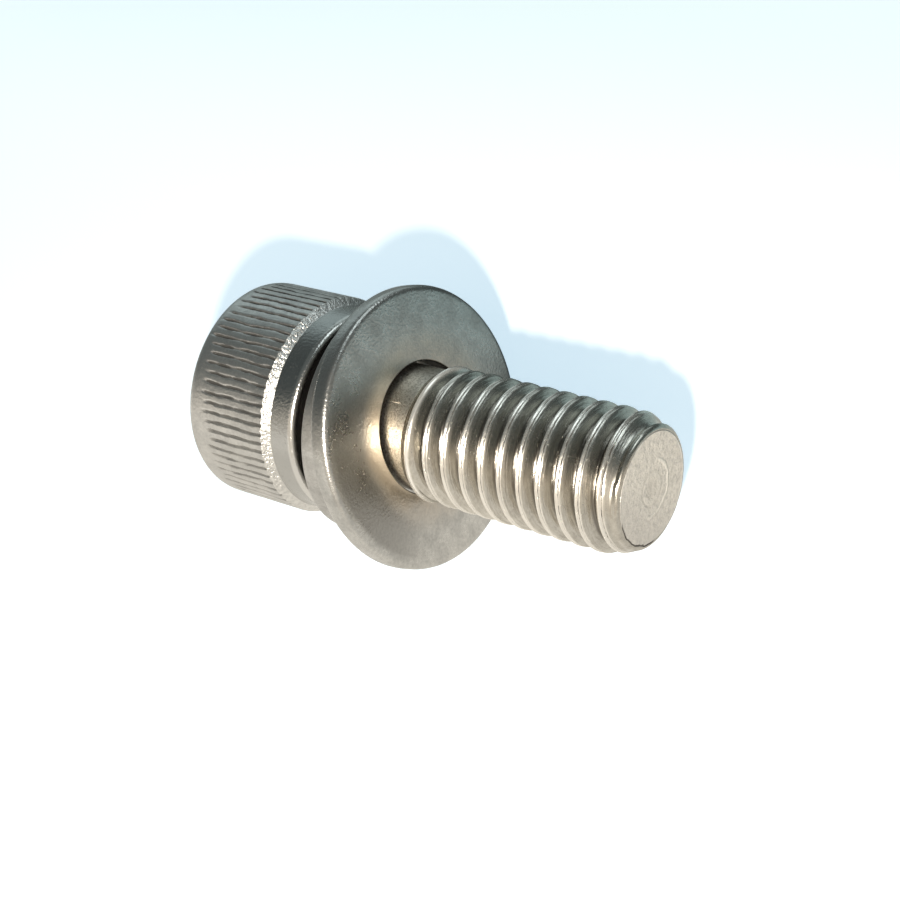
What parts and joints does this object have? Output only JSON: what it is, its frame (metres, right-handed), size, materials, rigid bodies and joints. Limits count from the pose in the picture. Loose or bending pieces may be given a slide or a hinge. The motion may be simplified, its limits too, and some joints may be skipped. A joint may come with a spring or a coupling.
{
  "type": "hex socket cap screw with captive washers",
  "caption": "Knurled cylindrical hex socket cap screw with a reduced neck, a right-hand thread, and a loose captive spring lock washer and flat washer under the head.",
  "frame": {"origin": "centre of the head's socket face, on which the screw stands", "axes": "+Z along the screw's axis from the head to the threaded tip"},
  "size_m": [0.0162, 0.0162, 0.028],
  "materials": {
    "screw_steel": "plain forged and rolled steel, satin head and shiny thread",
    "spring_steel": "satin spring steel",
    "washer_steel": "satin stamped steel"
  },
  "bodies": {
    "screw": {"cap_screw": "screw_steel"},
    "spring_washer": {"spring_washer": "spring_steel"},
    "flat_washer": {"flat_washer": "washer_steel"}
  },
  "joints": [
    {"name": "spring_washer_spin", "type": "hinge", "parent": "screw", "child": "spring_washer", "pos_m": [0, 0, 0.00877], "axis": [0, 0, 1], "continuous": true},
    {"name": "flat_washer_spin", "type": "hinge", "parent": "spring_washer", "child": "flat_washer", "pos_m": [0, 0, 0.01242], "axis": [-0.17, -0.1367, 0.9759], "continuous": true}
  ]
}
